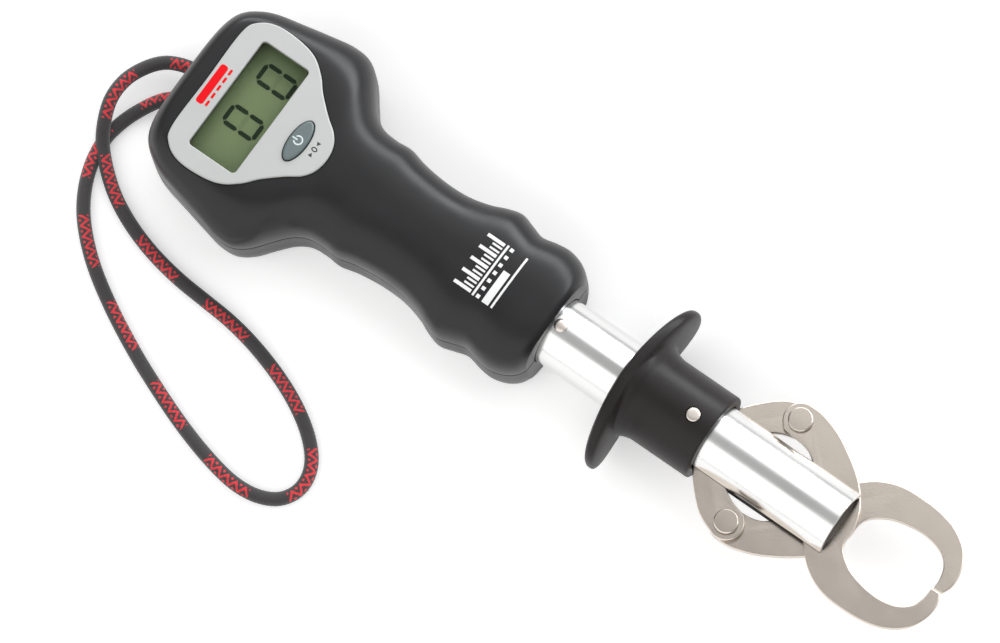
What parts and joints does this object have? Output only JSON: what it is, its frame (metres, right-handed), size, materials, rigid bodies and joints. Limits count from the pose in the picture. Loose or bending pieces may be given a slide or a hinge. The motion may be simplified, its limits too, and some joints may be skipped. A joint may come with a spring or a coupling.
{
  "type": "digital fish scale",
  "caption": "Hand-held digital fish scale: LCD handle, sliding finger trigger on a tube, scissor lip-grip jaws and a wrist lanyard.",
  "frame": {"origin": "on the surface it lies on, under the middle of the scale's length and width, lanyard left out", "axes": "+X along the tube towards the jaws, +Z out of the display, +Y to the left of the jaws' direction"},
  "size_m": [0.2994, 0.1288, 0.0361],
  "materials": {
    "charcoal_plastic": "satin soft-touch",
    "trigger_plastic": "matt",
    "carrier_plastic": "matt",
    "silver_plastic": "satin",
    "button_plastic": "semi-gloss",
    "clear_pane": "polished",
    "lcd_glass": "smooth",
    "elastomer": "matt",
    "fibreglass": "solder mask",
    "switch_plastic": "matt",
    "polished_aluminium": "polished",
    "milled_aluminium": "milled",
    "satin_steel": "tumbled satin",
    "bright_steel": "bright",
    "spring_steel": "drawn wire",
    "battery_wrap": "shrink sleeve",
    "nickel_plate": "plated",
    "woven_cord": "woven",
    "brass": "plain"
  },
  "bodies": {
    "handle": {"handle_upper_shell": "charcoal_plastic", "handle_lower_shell": "charcoal_plastic", "bezel_plate": "silver_plastic", "lcd_window": "clear_pane", "lcd_module": "lcd_glass", "zebra_connector": "elastomer", "button_switch": "switch_plastic", "circuit_board": "fibreglass", "battery_1": "battery_wrap", "battery_2": "battery_wrap", "battery_contact_left": "nickel_plate", "battery_contact_right": "nickel_plate", "battery_door": "charcoal_plastic", "battery_door_screw": "bright_steel", "housing_screw_1": "bright_steel", "housing_screw_2": "bright_steel", "housing_screw_3": "bright_steel", "housing_screw_4": "bright_steel", "load_cell": "milled_aluminium", "load_cell_screw_1": "bright_steel", "load_cell_screw_2": "bright_steel", "anchor_pin": "bright_steel", "tube_anchor": "milled_aluminium", "main_tube": "polished_aluminium", "tube_rivet": "bright_steel", "return_spring": "spring_steel", "link_pivot_pin": "bright_steel", "lanyard_cord": "woven_cord", "lanyard_ferrule": "brass"},
    "trigger": {"trigger_sleeve": "trigger_plastic", "sleeve_pin": "bright_steel", "carrier_upper": "carrier_plastic", "carrier_lower": "carrier_plastic", "jaw_pivot_pin": "bright_steel"},
    "button": {"power_button": "button_plastic"},
    "jaw_a": {"jaw_a": "satin_steel"},
    "jaw_b": {"jaw_b": "satin_steel"},
    "link_a": {"link_a": "satin_steel", "elbow_rivet_a": "satin_steel"},
    "link_b": {"link_b": "satin_steel", "elbow_rivet_b": "satin_steel"}
  },
  "joints": [
    {"name": "trigger_slide", "type": "slide", "parent": "handle", "child": "trigger", "axis": [-1, 0, 0], "range_m": [0, 0.012], "stiffness_N_per_m": 900, "springref_m": -0.006, "deforming": ["return_spring"]},
    {"name": "power_button_press", "type": "slide", "parent": "handle", "child": "button", "axis": [0, 0, -1], "range_m": [0, 0.0008], "stiffness_N_per_m": 600, "springref_m": -0.0008},
    {"name": "jaw_a_hinge", "type": "hinge", "parent": "trigger", "child": "jaw_a", "pos_m": [0.0952, 0, 0.0176], "axis": [0, 0, -1], "range_deg": [0, 15.21]},
    {"name": "jaw_b_hinge", "type": "hinge", "parent": "trigger", "child": "jaw_b", "pos_m": [0.0952, 0, 0.0176], "axis": [0, 0, 1], "range_deg": [0, 15.21]},
    {"name": "link_a_hinge", "type": "hinge", "parent": "handle", "child": "link_a", "pos_m": [0.053, 0, 0.0176], "axis": [0, 0, 1], "range_deg": [0, 17.24]},
    {"name": "link_b_hinge", "type": "hinge", "parent": "handle", "child": "link_b", "pos_m": [0.053, 0, 0.0176], "axis": [0, 0, -1], "range_deg": [0, 17.24]}
  ],
  "couplings": [
    {"joint": "jaw_a_hinge", "follows": "trigger_slide", "rad_per_m": 22.05},
    {"joint": "jaw_b_hinge", "follows": "trigger_slide", "rad_per_m": 22.05},
    {"joint": "link_a_hinge", "follows": "trigger_slide", "rad_per_m": 25},
    {"joint": "link_b_hinge", "follows": "trigger_slide", "rad_per_m": 25}
  ]
}
